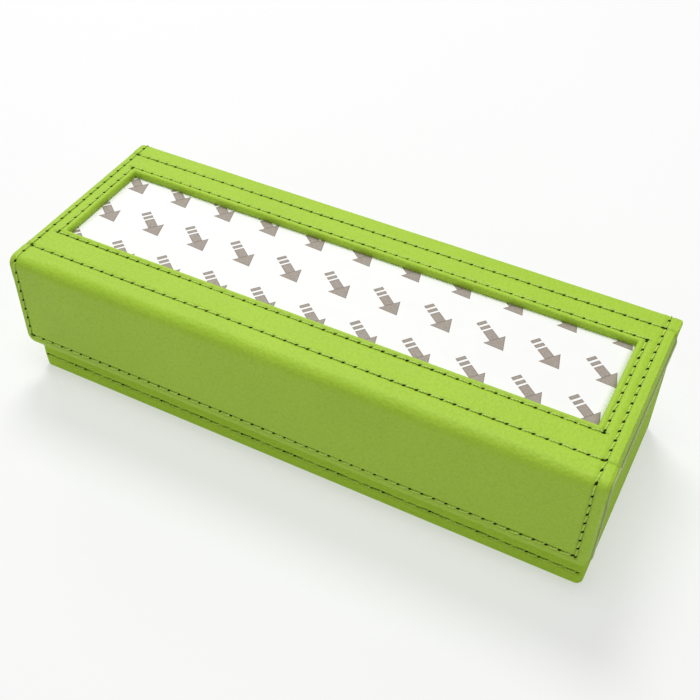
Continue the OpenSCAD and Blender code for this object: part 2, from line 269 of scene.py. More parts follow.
SIDE_X = (side_low[0] + half_w, side_high[0] - half_w)
ROW_X = (SIDE_X[0] + SIDE_X[1]) / 2
WINDOW_X = (window_low[0] + window_high[0]) / 2
WINDOW_Y = (window_low[1] + window_high[1]) / 2
window_run = window_high[0] - window_low[0] - 2 * half_w
window_reach = window_high[1] - window_low[1] - 2 * half_w
fold_run = fold_high[0] - fold_low[0] + STITCH_GAP
fold_s = s_of((fold_low[1] + fold_high[1]) / 2)
rear_fold_s = s_of((rear_fold_low[1] + rear_fold_high[1]) / 2)
panel_s = S_REAR + rear_centre[1] - (panel_row_low[2] + half_w)
panel_run = 2 * (SIDE_X[1] - ROW_X) - STITCH_PITCH

side_rows = [Row(False, x, (SIDE_START + panel_s) / 2, panel_s - SIDE_START) for x in SIDE_X]
flap_row = Row(True, SIDE_START, ROW_X, fold_run)
front_fold_row = Row(True, fold_s, ROW_X, fold_run, FOLD_RUN_ON)
rear_fold_row = Row(True, rear_fold_s, ROW_X, fold_run, FOLD_RUN_ON)
panel_row = Row(True, panel_s, ROW_X, panel_run)
window_rows = [
    Row(True, s_of(WINDOW_Y + side * window_reach / 2), WINDOW_X, window_run)
    for side in (-1, 1)
] + [
    Row(False, WINDOW_X + side * window_run / 2, s_of(WINDOW_Y),
        window_reach - STITCH_PITCH / 2)
    for side in (-1, 1)
]
wrap_rows = side_rows + window_rows + [flap_row, front_fold_row, rear_fold_row, panel_row]
tray_row = Row(True, (tray_row_low[2] + tray_row_high[2]) / 2,
               (tray_row_low[0] + tray_row_high[0]) / 2,
               tray_row_high[0] - tray_row_low[0] + STITCH_GAP)

# ------------------------ the wrap's sections
# Window opening in the leather, a little wider and deeper than the liner
LINER_CLEAR = 0.1
WINDOW_HALF_X = (liner_high[0] - liner_low[0]) / 2 + LINER_CLEAR
WINDOW_HALF_Y = (liner_high[1] - liner_low[1]) / 2 + LINER_CLEAR
WINDOW_FLOOR = TOP - liner_low[2] + LINER_CLEAR
RIM_R = 1.0
RIM_SWELL = 0.22
RIM_W = 2.4

# Radius of the leather's outer edge over the boards, and where it is leather only
BOARD_EDGE_R = 0.9
FOLD_EDGE_R = 0.6
# The wrap is made in two sheets, which meet between the rear fold row and the rear corner
LID_SIDE_DEPTH = TOP - lid_lining_low[2] - LINING
FLAP_SIDE_DEPTH = flap_board_high[1] - FRONT
S_SEAM = (S_CORNER + rear_fold_s) / 2 + 0.3
s_board_front = s_of(board_low[1])
s_board_rear = s_of(board_high[1])
s_flap_board_top = flap_board_high[2] - flap_low[2]
TRAY_LEFT, TRAY_RIGHT = tray_low[0], tray_high[0]
# The leather slopes down at the right end, where the lining's edge shows below it
LINING_PROUD = 0.45
BEVEL_W = 1.0
BEVEL_SHARE = 0.7
BEVEL_CURVE = 0.9
BEVEL_FADE = 4.0
# Width of the painted shadow line at the foot of that slope
FOOT_SHADOW_W = 0.3


def on_boards(s, spread):
    """1 where the wrap lies on the lid's or the flap's boards, 0 where it is leather only."""
    flap = smooth((s_flap_board_top - s) / spread + 0.5)
    lid = smooth((s - s_board_front) / spread + 0.5) * smooth((s_board_rear - s) / spread + 0.5)
    return flap + lid


def side_depth(s, spread=0.8):
    """How far the leather reaches down at the ends of the wrap."""
    on_flap = s < (s_flap_board_top + s_board_front) / 2
    full = np.where(on_flap, FLAP_SIDE_DEPTH, LID_SIDE_DEPTH)
    return LEATHER + (full - LEATHER) * on_boards(s, spread)


def narrowing(s):
    """0 on the lid and flap, 1 on the rear panel, which is only as wide as the tray."""
    return smooth((s - S_CORNER + 0.5) / (S_REAR - S_CORNER + 1))


def wrap_ends(s):
    """Left and right end of the leather at s, without the flap's round corners."""
    narrow = narrowing(s)
    return (-HALF + (TRAY_LEFT + HALF) * narrow,
            HALF + (TRAY_RIGHT - HALF) * narrow)


def edge_distance(s, x, low_edge=0.0):
    """Distance in from the wrap's outline, held at the corner radius further in."""
    left, right = wrap_ends(s)
    side = np.minimum(x - left, right - x)
    in_corner = np.hypot(np.maximum(FLAP_CORNER - side, 0),
                         np.maximum(FLAP_CORNER - (s - low_edge), 0))
    return np.clip(FLAP_CORNER - in_corner, 0, None)


def roundover(distance, radius):
    """Depth of a rounded edge at a distance in from the outline."""
    d = np.clip(distance, 0, radius)
    return radius - np.sqrt(np.maximum(radius ** 2 - (radius - d) ** 2, 0))


def bevel(s, x):
    """Depth of the sloping leather edge at the right end."""
    far = np.clip((wrap_ends(s)[1] - x) / BEVEL_W, 0, 1)
    fade = smooth(s / BEVEL_FADE) * smooth(s_board_rear + 0.5 - s)
    return BEVEL_SHARE * side_depth(s) * (1 - far) ** BEVEL_CURVE * fade


def window_distance(s, x):
    """Distance out from the window opening, negative inside it."""
    return np.maximum(np.abs(x - WINDOW_X) - WINDOW_HALF_X,
                      np.abs(s - s_of(WINDOW_Y)) - WINDOW_HALF_Y)


def drape(s, x):
    """Slight unevenness of leather over board."""
    wave = 0.05 * np.sin(x / 17 + 0.4 * np.sin(s / 9)) * np.sin(s / 13 + 0.7)
    wave += 0.03 * np.sin(x / 6.1 + s / 11) * np.sin(s / 5.3 - x / 23)
    on_flap = smooth((S_BEND - s) / 6) * smooth(s / 6)
    return wave + 0.12 * on_flap * np.sin(x / 31 + 1.1) * np.sin(s / 8)


def wrap_depth(s, x):
    """Depth of the finished leather surface under the wrap's ideal face."""
    edge_r = FOLD_EDGE_R + (BOARD_EDGE_R - FOLD_EDGE_R) * np.clip(on_boards(s, 3), 0, 1)
    depth = np.maximum(roundover(edge_distance(s, x), edge_r), bevel(s, x))
    gap = window_distance(s, x)
    depth = depth + roundover(np.maximum(gap, 0), RIM_R) * (gap < RIM_R)
    depth = depth - RIM_SWELL * np.sin(np.pi * np.clip(gap / RIM_W, 0, 1))
    inner = smooth(edge_distance(s, x) / 2) * smooth(gap / 2)
    depth = depth - drape(s, x) * inner
    for row in wrap_rows:
        depth = depth + row.relief(s, x)
    return depth


def painted_shade_at(s, x):
    """Painted shade on the leather: in the stitched rows' grooves, and a painted shadow line at
    the foot of the right end.
    """
    # Painted shadow line along the foot of the right end's sloping edge
    foot = smooth(1 - (wrap_ends(s)[1] - x) / FOOT_SHADOW_W) * (s < s_board_rear)
    return np.maximum(np.max([row.near(s, x) for row in wrap_rows], 0), foot)


GRID = 0.5
LEAST_GAP = 0.04
TINY = 1e-6


def spaced(low, high, step, extra=()):
    """Positions about a step apart between two ends, with extra ones where needed."""
    extra = np.array([e for e in extra if low - TINY <= e <= high + TINY] + [low, high])
    places = np.unique(np.round(extra, 4))
    keep = [places[0]]
    for place in places[1:]:
        last = keep[-1]
        gap = place - last
        if gap < LEAST_GAP:
            continue
        parts = max(1, math.ceil(gap / step - TINY))
        keep.extend(last + gap * (k + 1) / parts for k in range(parts))
    keep[-1] = high
    return np.array(keep)


def round_steps(edge, radius, direction, count=5):
    """Positions that follow a rounded edge evenly, from the edge inwards."""
    turns = np.linspace(0, math.pi / 2, count + 1)
    return [edge + direction * radius * (1 - math.cos(t)) for t in turns]


def columns():
    """Positions of the wrap's grid lines along X."""
    extra = round_steps(-HALF, BOARD_EDGE_R, 1)
    extra += [HALF - BEVEL_W * k for k in (0.12, 0.3, 0.6, 0.85, 1.0, 1.15, 1.4)]
    for side in (-1, 1):
        edge = WINDOW_X + side * WINDOW_HALF_X
        extra += round_steps(edge, RIM_R, side)
    extra += list(SIDE_X)
    return spaced(-HALF, HALF, GRID, extra)


def rows_between(low, high):
    """Positions of the wrap's grid lines along s, between two ends."""
    extra = round_steps(0, BOARD_EDGE_R, 1)
    for side in (-1, 1):
        extra += round_steps(s_of(WINDOW_Y) + side * WINDOW_HALF_Y, RIM_R, side)
    extra += [SIDE_START, fold_s, rear_fold_s, panel_s, S_BEND, S_TOP, S_CORNER, S_REAR]
    for edge in (s_flap_board_top, s_board_front, s_board_rear):
        extra += [edge - 0.4, edge - 0.2, edge, edge + 0.2, edge + 0.4]
    return spaced(low, high, GRID, extra)


OUTLINE_REACH = 9.0


def outline_grid(s, x):
    """Grid points, with the columns near both ends moved in to follow the outline."""
    s_grid, x_grid = np.meshgrid(s, x, indexing="ij")
    left, right = wrap_ends(s_grid)
    corner = FLAP_CORNER - np.sqrt(
        np.maximum(FLAP_CORNER ** 2 - np.maximum(FLAP_CORNER - s_grid, 0) ** 2, 0))
    at_left = smooth((-HALF + OUTLINE_REACH - x_grid) / OUTLINE_REACH)
    at_right = smooth((x_grid - HALF + OUTLINE_REACH) / OUTLINE_REACH)
    x_grid = x_grid + at_left * (left + HALF + corner)
    x_grid = x_grid + at_right * (right - HALF - corner)
    return s_grid, x_grid


def grid_faces(start, keep):
    """Quads of the kept cells of a grid of points that starts at an index."""
    rows, cols = keep.shape[0] + 1, keep.shape[1] + 1
    index = start + np.arange(rows * cols).reshape(rows, cols)
    corners = np.stack([index[:-1, :-1], index[:-1, 1:], index[1:, 1:], index[1:, :-1]], -1)
    return corners[keep]


def ring_faces(start, rings, sides):
    """Quads between rings of points, each ring closed on itself."""
    index = start + np.arange(rings * sides).reshape(rings, sides)
    after = np.roll(index, -1, 1)
    return np.stack([index[:-1], after[:-1], after[1:], index[1:]], -1).reshape(-1, 4)


def border_edges(faces):
    """Edges of the faces that no other face shares, in the direction of their face."""
    edges = np.concatenate([faces[:, [k, (k + 1) % 4]] for k in range(4)])
    low, high = edges.min(1), edges.max(1)
    key = low.astype(np.int64) * (faces.max() + 1) + high
    _, first, counts = np.unique(key, return_index=True, return_counts=True)
    return edges[first[counts == 1]]


def add_skirt(build, edges, levels):
    """Strips of quads that hang from border edges. Each level gives all points, by index."""
    used = np.unique(edges)
    lookup = np.zeros(used.max() + 1, int)
    lookup[used] = np.arange(len(used))
    ring = used
    for points in levels(used):
        start = build.add(points)
        new_ring = start + np.arange(len(used))
        a, b = lookup[edges[:, 0]], lookup[edges[:, 1]]
        build.faces.append(np.stack([ring[b], ring[a], new_ring[a], new_ring[b]], -1))
        ring = new_ring


def seam_marks(s, s_rows, seam_low, seam_high):
    """Which points lie on an end where the sheet meets the next one."""
    at_seam = np.zeros(len(s), bool)
    if seam_low:
        at_seam |= s < s_rows[0] + TINY
    if seam_high:
        at_seam |= s > s_rows[-1] - TINY
    return at_seam


# The leather's turned-in edge: share of the side depth, and distance in from the outline
TURNED_EDGE = ((0.4, 0.0), (0.66, 0.0), (0.72, 0.15), (0.75, 0.8), (0.9, 5.0))


def leather_sheet(name, s_rows, seam_low, seam_high, material):
    """One stretch of the wrap, with rounded and turned-in edges and the window's rim."""
    build = Builder()
    s, x = outline_grid(s_rows, columns())
    depth = wrap_depth(s, x)
    start = build.add(on_wrap(s, x, depth), painted_shade_at(s, x))
    mid_s, mid_x = (s[:-1, :-1] + s[1:, 1:]) / 2, (x[:-1, :-1] + x[1:, 1:]) / 2
    keep = window_distance(mid_s, mid_x) > 0
    faces = grid_faces(start, keep)
    build.faces.append(faces)
    edges = border_edges(faces)
    flat_s, flat_x, flat_depth = s.ravel(), x.ravel(), depth.ravel()
    at_seam = seam_marks(flat_s, s_rows, seam_low, seam_high)
    on_window = np.abs(window_distance(flat_s, flat_x)) < 0.05
    in_seam = at_seam[edges].all(1)
    in_window = on_window[edges].all(1)

    def turned(used):
        us, ux, ud = flat_s[used], flat_x[used], flat_depth[used]
        full = side_depth(us)
        left, right = wrap_ends(us)
        for share, inset in TURNED_EDGE:
            moved = inset
            if inset > 1 and not seam_low:
                moved = inset + np.maximum(FLAP_CORNER - us, 0)
            nx = np.clip(ux, left + moved, right - moved)
            ns = np.minimum(us, S_END - inset) if seam_low else np.maximum(us, inset)
            yield on_wrap(ns, nx, ud + (full - ud) * share)

    def rim(used):
        us, ux, ud = flat_s[used], flat_x[used], flat_depth[used]
        for share in (0.5, 1.0):
            yield on_wrap(us, ux, ud + (WINDOW_FLOOR - ud) * share)

    add_skirt(build, edges[~in_seam & ~in_window], turned)
    if in_window.any():
        add_skirt(build, edges[in_window], rim)
    return build.piece(name, material)


# ------------------------ lining under the wrap
LINING_INSET = 0.3
MAGNET_SWELL = 0.25
# The lining's edge: share of its visible band, and how far it is tucked in
LINING_EDGE = ((0.2, 0.0), (0.8, 0.0), (1.0, 0.18), (1.0, 0.42), (0.5, 0.7), (0.5, 1.5))


def lining_depth(s):
    """Depth of the lining's inner face: deep over the boards, shallow over the folds."""
    return LINING + side_depth(s, 0.9)


def magnet_swell(s, x):
    """The lining stands up slightly over each magnet."""
    low, high = node_box("flap_magnets")
    height = (low[2] + high[2]) / 2 - flap_low[2]
    radius = (high[2] - low[2]) / 2
    swell = 0
    for at in (low[0] + radius, high[0] - radius):
        swell = swell + MAGNET_SWELL * smooth(
            (radius + 1.2 - np.hypot(s - height, x - at)) / 2)
    return swell


def lining_sheet(name, s_low, s_high, seam_low, seam_high, material):
    """One stretch of the lining, with its edge turned up to the leather."""
    build = Builder()
    inset = LINING_INSET
    extra = [*np.linspace(S_BEND, S_TOP, 11), *np.linspace(S_CORNER, S_REAR, 7)]
    for edge in (s_flap_board_top, s_board_front, s_board_rear):
        extra += list(np.linspace(edge - 0.9, edge + 0.9, 9))
    s_rows = spaced(s_low, s_high, 1.5, extra)
    flat = spaced(-HALF + inset, HALF + LINING_PROUD, 2.0)
    s, x = np.meshgrid(s_rows, flat, indexing="ij")
    left, right = wrap_ends(s)
    right = right - inset + (LINING_PROUD + inset) * smooth(s_board_rear + 0.5 - s)
    x = np.clip(x, left + inset, right)
    corner = FLAP_CORNER - inset
    shrink = corner - np.sqrt(np.maximum(
        corner ** 2 - np.clip(corner + s_low - s, 0, corner) ** 2, 0))
    if not seam_low:
        x = np.clip(x, left + inset + shrink, right - shrink)
    soft = 0.04 * np.sin(x / 9 + s / 7) * np.sin(s / 4.7 - x / 21)
    depth = lining_depth(s) + soft + magnet_swell(s, x)
    start = build.add(on_wrap(s, x, depth))
    faces = grid_faces(start, np.ones((len(s_rows) - 1, len(flat) - 1), bool))[:, ::-1]
    build.faces.append(faces)
    edges = border_edges(faces)
    flat_s, flat_x, flat_depth = s.ravel(), x.ravel(), depth.ravel()
    at_seam = seam_marks(flat_s, s_rows, seam_low, seam_high)

    def up(used):
        us, ux, ud = flat_s[used], flat_x[used], flat_depth[used]
        band = LINING + 0.12 * side_depth(us)
        for share, tuck in LINING_EDGE:
            yield on_wrap(us, ux - np.sign(ux) * tuck, ud - band * share)

    add_skirt(build, edges[~at_seam[edges].all(1)], up)
    return build.piece(name, material)


# ------------------------ stacks of round rectangles
def ring_points(low, high, radius, steps, corner_steps=8):
    """Points round a rectangle with round corners, counter-clockwise from above."""
    radius = max(radius, 0.01)
    (x0, y0), (x1, y1) = low, high
    centres = [(x1 - radius, y0 + radius, -90), (x1 - radius, y1 - radius, 0),
               (x0 + radius, y1 - radius, 90), (x0 + radius, y0 + radius, 180)]
    points = []
    for k, (cx, cy, begin) in enumerate(centres):
        turns = np.radians(np.linspace(begin, begin + 90, corner_steps + 1))
        arc = np.stack([cx + radius * np.cos(turns), cy + radius * np.sin(turns)], -1)
        points.append(arc)
        nx, ny, turn = centres[(k + 1) % 4]
        t = math.radians(turn)
        end = np.array([nx + radius * math.cos(t), ny + radius * math.sin(t)])
        share = np.linspace(0, 1, steps[k % 2] + 1)[1:-1, None]
        points.append(arc[-1] * (1 - share) + end * share)
    return np.concatenate(points)


def stack(name, levels, steps, material, shape=None, fill=True):
    """A skin over a stack of rings. A level is low corner, high corner, radius and height.
    Fill closes the last ring."""
    rings = []
    for low, high, radius, z in levels:
        flat = ring_points(low, high, radius, steps)
        rings.append(np.column_stack([flat, np.full(len(flat), z)]))
    rings = np.array(rings)
    # Painted shade per point; zero unless the shape gives some
    marks = np.zeros(rings.shape[:2])
    if shape is not None:
        rings, marks = shape(rings)
    faces = ring_faces(0, *marks.shape).tolist()
    if fill:
        faces.append(list(range(marks.size - marks.shape[1], marks.size)))
    return make_piece(name, rings.reshape(-1, 3), faces, material, {"painted_shade": marks.ravel()})


# ------------------------ tray
TRAY_CORNER = 1.6
# The corners are a little wider near the foot
FOOT_SPREAD, FOOT_SPREAD_H = 0.7, 7.0
FOOT_R, TRAY_RIM_R = 0.9, 1.0
TRAY_WALL = left_bay_low[0] - TRAY_LEFT + 0.5
TURN_IN_Z = left_bay_high[2]
TRAY_RIM = front_board_high[2] + 0.8
BACK_RISE = tray_high[2] - TRAY_RIM


def inset_rect(inset):
    """The tray's outline, moved in by an inset, as its low and high corner."""
    return ((tray_low[0] + inset, tray_low[1] + inset),
            (tray_high[0] - inset, tray_high[1] - inset))


def tray_levels():
    """Rings from under the floor, up the outside, over the rim and down inside."""
    foot_r, rim_r = FOOT_R, TRAY_RIM_R
    low_z = tray_low[2]
    levels = [(14.0, 3.0, low_z + 0.05), (5.0, 3.5, low_z)]
    for turn in np.linspace(0, math.pi / 2, 7):
        levels.append((foot_r * (1 - math.sin(turn)), 0, low_z + foot_r * (1 - math.cos(turn))))
    heights = [z for z in spaced(low_z + foot_r, TRAY_RIM - rim_r, 2.5,
                                 [tray_row.at + d for d in np.linspace(-3, 3, 13)])][1:]
    levels += [(0, 0, z) for z in heights]
    for turn in np.linspace(0, math.pi / 2, 6)[1:]:
        levels.append((rim_r * (1 - math.cos(turn)), 0, TRAY_RIM - rim_r * (1 - math.sin(turn))))
    for turn in np.linspace(0, math.pi / 2, 6):
        levels.append((TRAY_WALL - rim_r * (1 - math.sin(turn)), 0,
                       TRAY_RIM - rim_r * (1 - math.cos(turn))))
    levels += [(TRAY_WALL, 0, z) for z in np.linspace(TRAY_RIM - rim_r, TURN_IN_Z + 0.2, 4)[1:]]
    levels += [(TRAY_WALL - 0.15, 0, TURN_IN_Z), (TRAY_WALL - 0.45, 0, TURN_IN_Z)]
    rings = []
    for inset, radius, z in levels:
        spread = FOOT_SPREAD * (1 - smooth((z - low_z) / FOOT_SPREAD_H))
        corner = radius or max(TRAY_CORNER + spread - inset, 0.35)
        rings.append((*inset_rect(inset), corner, z))
    return rings


def shape_tray(rings):
    """Raises the back wall, presses the front row in and makes the walls uneven. Also gives the
    painted shade in the front row's groove.
    """
    x, y, z = rings[..., 0], rings[..., 1], rings[..., 2]
    back = (y > tray_high[1] - TRAY_WALL - 0.05) & (z > TURN_IN_Z)
    lift = BACK_RISE * (z - TURN_IN_Z) / (TRAY_RIM - TURN_IN_Z)
    z = z + np.where(back, lift, 0)
    on_front = smooth((tray_low[1] + 0.6 - y) / 0.4)
    y = y + on_front * tray_row.relief(z, x)
    on_end = smooth((x - TRAY_RIGHT + 0.6) / 0.4) + smooth((TRAY_LEFT + 0.6 - x) / 0.4)
    inner = smooth((z - 3) / 6) * smooth((TRAY_RIM - 2 - z) / 6)
    wave = 0.10 * inner * np.sin(z / 6.5 + y / 13) * np.sin(y / 9 + 0.5)
    x = x + np.sign(x) * on_end * (wave - 0.10 * inner)
    # Painted shade in the front row's groove
    painted_shade = tray_row.near(z, x) * on_front
    return np.stack([x, y, z], -1), painted_shade


def make_tray_cover(material):
    """The tray's leather, with its stitched front row."""
    steps = (round((TRAY_RIGHT - TRAY_LEFT) / 0.6), round((tray_high[1] - tray_low[1]) / 1.2))
    return stack("tray_leather", tray_levels(), steps, material, shape_tray, fill=False)


def make_bay(name, low, high, divider_side, material):
    """Lining of one bay, with soft inner corners. divider_side is 1 where the divider is on
    the bay's right and -1 where it is on its left."""
    wall, fillet, tuck, lip, divider_gap = 0.5, 1.4, 0.45, 0.2, 0.03
    top = TURN_IN_Z
    y0, y1 = low[1] + wall, high[1] - wall
    if divider_side > 0:
        x0, x1 = low[0] + wall, divider_low[0] - divider_gap
        tucks, lips = (tuck, 0.02), (lip, 0)
    else:
        x0, x1 = divider_high[0] + divider_gap, high[0] - wall
        tucks, lips = (0.02, tuck), (0, lip)
    rings = [((x0 - tucks[0], y0 - tuck), (x1 + tucks[1], y1 + tuck), 0.6, top - 0.15),
             ((x0 - lips[0], y0 - lip), (x1 + lips[1], y1 + lip), 0.7, top)]
    base = low[2] + wall
    for z in np.linspace(top - 0.2, base + fillet, 9):
        rings.append(((x0, y0), (x1, y1), 1.0, z))
    for turn in np.linspace(0, math.pi / 2, 6)[1:]:
        d = fillet * (1 - math.cos(turn))
        rings.append(((x0 + d, y0 + d), (x1 - d, y1 - d), 1.0 + 0.2 * d,
                      base + fillet * (1 - math.sin(turn))))
    for share in np.linspace(0.05, 0.9, 7):
        d = fillet + share * (y1 - y0 - 2 * fillet) / 2
        rings.append(((x0 + d, y0 + d), (x1 - d, y1 - d), 1.5, base))

    def settle(points):
        """Lowers the edge beside the divider and makes the floor uneven."""
        x, y, z = points[..., 0], points[..., 1], points[..., 2]
        edge = x1 if divider_side > 0 else x0
        at_divider = np.abs(x - edge) < 0.6
        z = np.where(at_divider, np.minimum(z, divider_high[2] - 0.8), z)
        floor = smooth((base + 0.4 - z) / 0.3)
        z = z + 0.05 * floor * (1 + np.sin(x / 11) * np.sin(y / 9))
        return np.stack([x, y, z], -1), np.zeros(x.shape)

    steps = (round((x1 - x0) / 3), round((y1 - y0) / 3))
    return stack(name, rings, steps, material, settle)


def make_divider(material):
    """Divider cover: a folded strip with a round top edge."""
    half_t = (divider_high[0] - divider_low[0]) / 2
    middle = (divider_high[0] + divider_low[0]) / 2
    levels = []
    for z in np.linspace(divider_low[2], divider_high[2] - half_t, 10):
        levels.append((0.0, z))
    for turn in np.linspace(0, math.pi / 2, 6)[1:]:
        levels.append((half_t * (1 - math.cos(turn)) * 0.95,
                       divider_high[2] - half_t * (1 - math.sin(turn))))
    rings = [((middle - half_t + d, divider_low[1] + d * 0.2),
              (middle + half_t - d, divider_high[1] - d * 0.2), 0.06, z) for d, z in levels]
    return stack("divider_skin", rings, (2, 30), material)


# ------------------------ thread
# A stitch: how high it stands, and how much that and its slant vary
THREAD_LIFT, LIFT_SPREAD = 0.20, 0.03
SLANT, SLANT_SPREAD = 0.16, 0.5
THREAD_SINK = 0.22
STRAND_R = 0.17
STRAND_OFFSET = 0.13
THREAD_TURNS = 1.5
# A hole: how far it reaches into the stitch, its half length and width, and its lean
HOLE_REACH = 0.42
HOLE_LONG, HOLE_WIDE, HOLE_LEAN = 0.66, 0.36, 0.35
# Rings of a hole's cup: share of its size, and depth
HOLE_CUP = ((1.0, -0.035), (0.7, 0.0), (0.25, 0.10))


def thread_piece(name, rows, place, material, seed, limits):
    """Two-strand stitches between the needle holes of some rows."""
    rng = np.random.default_rng(seed)
    build = Builder()
    rings, sides = 9, 6
    along = np.linspace(0, 1, rings)
    for row in rows:
        half = row.pitch / 2 - HOLE_REACH
        for middle in row.places(0.5, row.count, limits):
            lean = SLANT * (1 + SLANT_SPREAD * rng.standard_normal())
            lift = THREAD_LIFT + LIFT_SPREAD * rng.standard_normal()
            phase = rng.uniform(0, 2 * math.pi)
            run = middle + (2 * along - 1) * half
            side = lean * (2 * along - 1)
            height = lift - (lift + THREAD_SINK) * np.abs(2 * along - 1) ** 5
            for strand in (0, math.pi):
                turn = phase + strand + 2 * math.pi * THREAD_TURNS * along
                spoke = np.linspace(0, 2 * math.pi, sides, endpoint=False)
                off_side = (side + STRAND_OFFSET * np.cos(turn))[:, None] \
                    + STRAND_R * np.cos(spoke)[None]
                off_up = (height + STRAND_OFFSET * np.sin(turn))[:, None] \
                    + STRAND_R * np.sin(spoke)[None]
                spot = np.broadcast_to(run[:, None], off_side.shape)
                start = build.add(row.beside(place, off_side, spot, GROOVE_DEPTH / 2 - off_up))
                build.faces.append(ring_faces(start, rings, sides))
    return build.piece(name, material)


def hole_piece(name, rows, place, material, limits):
    """The needle holes between stitches, as small sunk cups painted near black as the shade
    inside each hole.
    """
    build = Builder()
    sides = 8
    spoke = np.linspace(0, 2 * math.pi, sides, endpoint=False)
    for row in rows:
        for spot in row.places(0, row.count + 1, limits):
            rings = []
            for reach, depth in HOLE_CUP:
                run = HOLE_LONG * reach * np.cos(spoke)
                side = HOLE_WIDE * reach * np.sin(spoke) + HOLE_LEAN * run
                rings.append(row.beside(place, side, spot + run, GROOVE_DEPTH + depth))
            start = build.add(np.array(rings))
            build.faces.append(ring_faces(start, len(rings), sides))
            bottom = start + (len(rings) - 1) * sides
            build.faces.append(bottom + np.array([[0, 1, 2, 3], [0, 3, 4, 7], [4, 5, 6, 7]]))
    return build.piece(name, material)


# ------------------------ materials
class Shader:
    """A material's node tree, with short calls to add and link nodes."""

    def __init__(self, name, **settings):
        self.material = bpy.data.materials.new(name)
        self.material.use_nodes = True
        self.tree = self.material.node_tree
        self.surface = self.tree.nodes["Principled BSDF"]
        for key, value in settings.items():
            self.surface.inputs[key.replace("_", " ")].default_value = value
        self.coords = self.node("ShaderNodeTexCoord").outputs["Object"]

    def node(self, kind, inputs=None, **settings):
        node = self.tree.nodes.new(kind)
        for key, value in settings.items():
            setattr(node, key, value)
        for key, value in (inputs or {}).items():
            if isinstance(value, bpy.types.NodeSocket):
                self.tree.links.new(value, node.inputs[key])
            else:
                node.inputs[key].default_value = value
        return node

    def set(self, key, socket):
        self.tree.links.new(socket, self.surface.inputs[key])

    def noise(self, scale, detail=2.0, rough=0.5, where=None):
        return self.node("ShaderNodeTexNoise", {
            "Vector": where or self.coords, "Scale": scale, "Detail": detail,
            "Roughness": rough}).outputs["Fac"]

    def cells(self, scale, feature="F1", where=None):
        return self.node("ShaderNodeTexVoronoi", {
            "Vector": where or self.coords, "Scale": scale},
            feature=feature).outputs["Distance"]

    def math(self, operation, a, b=0.0, c=0.0):
        return self.node("ShaderNodeMath", {0: a, 1: b, 2: c}, operation=operation).outputs[0]

    def remap(self, value, low, high, to_low, to_high):
        return self.node("ShaderNodeMapRange", {
            "Value": value, "From Min": low, "From Max": high, "To Min": to_low,
            "To Max": to_high}).outputs["Result"]

    def mix(self, share, a, b, blend="MIX"):
        mix = self.node("ShaderNodeMix", data_type="RGBA", blend_type=blend)
        for key, value in ((0, share), (6, a), (7, b)):
            if isinstance(value, bpy.types.NodeSocket):
                self.tree.links.new(value, mix.inputs[key])
            else:
                mix.inputs[key].default_value = value
        return mix.outputs[2]

    def bump(self, height, distance, strength=1.0, under=None):
        inputs = {"Height": height, "Distance": distance, "Strength": strength}
        if under is not None:
            inputs["Normal"] = under
        return self.node("ShaderNodeBump", inputs).outputs["Normal"]

    def mark(self, name):
        return self.node("ShaderNodeAttribute", attribute_name=name).outputs["Fac"]


def leather(name, shine, dulling):
    """Pebbled leatherette. A larger dulling gives a rougher face."""
    sh = Shader(name, Specular_IOR_Level=shine)
    warp = sh.node("ShaderNodeTexNoise", {"Vector": sh.coords, "Scale": 420.0, "Detail": 2.0})
    shift = sh.node("ShaderNodeVectorMath", {0: warp.outputs["Color"], 1: (0.0006,) * 3},
                    operation="MULTIPLY").outputs[0]
    where = sh.node("ShaderNodeVectorMath", {0: sh.coords, 1: shift},
                    operation="ADD").outputs[0]
    pebble = sh.cells(1150.0, "SMOOTH_F1", where)
    fine = sh.noise(3200.0, 3.0)
    patch = sh.noise(38.0, 3.0)
    broad = sh.noise(14.0, 1.0)
    painted_shade = sh.mark("painted_shade")
    base = sh.mix(sh.remap(patch, 0.3, 0.7, 0, 1), (0.392, 0.618, 0.044, 1),
                  (0.436, 0.668, 0.056, 1))
    base = sh.mix(sh.remap(broad, 0.35, 0.65, 0, 0.5), base, (0.41, 0.63, 0.05, 1))
    valley = sh.remap(pebble, 0.25, 0.75, 0.0, 0.22)
    base = sh.mix(valley, base, (0.25, 0.43, 0.020, 1))
    # Painted shade: darker green in the stitch grooves and at the foot of the right end
    base = sh.mix(sh.math("MULTIPLY", painted_shade, 0.50), base, (0.17, 0.28, 0.014, 1))
    sh.set("Base Color", base)
    rough = sh.math("ADD", sh.remap(patch, 0.2, 0.8, 0.42 + dulling, 0.52 + dulling),
                    sh.remap(pebble, 0.2, 0.8, 0.0, 0.10))
    sh.set("Roughness", sh.math("ADD", rough, sh.math("MULTIPLY", painted_shade, 0.12)))
    soft = sh.bump(sh.noise(75.0, 2.0), 0.0005, 0.35)
    grain = sh.bump(sh.math("MULTIPLY", pebble, -1.0), 0.00018, 0.95, soft)
    sh.set("Normal", sh.bump(fine, 0.00003, 0.35, grain))
    return sh.material


def thread():
    sh = Shader("thread_green", Roughness=0.62, Specular_IOR_Level=0.35)
    fibre = sh.noise(2600.0, 2.0)
    # The thread is the leather's green, painted paler as a highlight on the raised stitches
    sh.set("Base Color", sh.mix(sh.remap(fibre, 0.3, 0.7, 0, 1), (0.46, 0.66, 0.075, 1),
                                (0.66, 0.85, 0.20, 1)))
    sh.set("Normal", sh.bump(fibre, 0.00005, 0.6))
    return sh.material


def hole():
    # Near black: the painted shade inside the needle holes
    sh = Shader("needle_hole_shade", Roughness=0.9, Specular_IOR_Level=0.1)
    sh.set("Base Color", sh.mix(sh.noise(1800.0), (0.004, 0.008, 0.001, 1),
                                (0.015, 0.025, 0.003, 1)))
    return sh.material


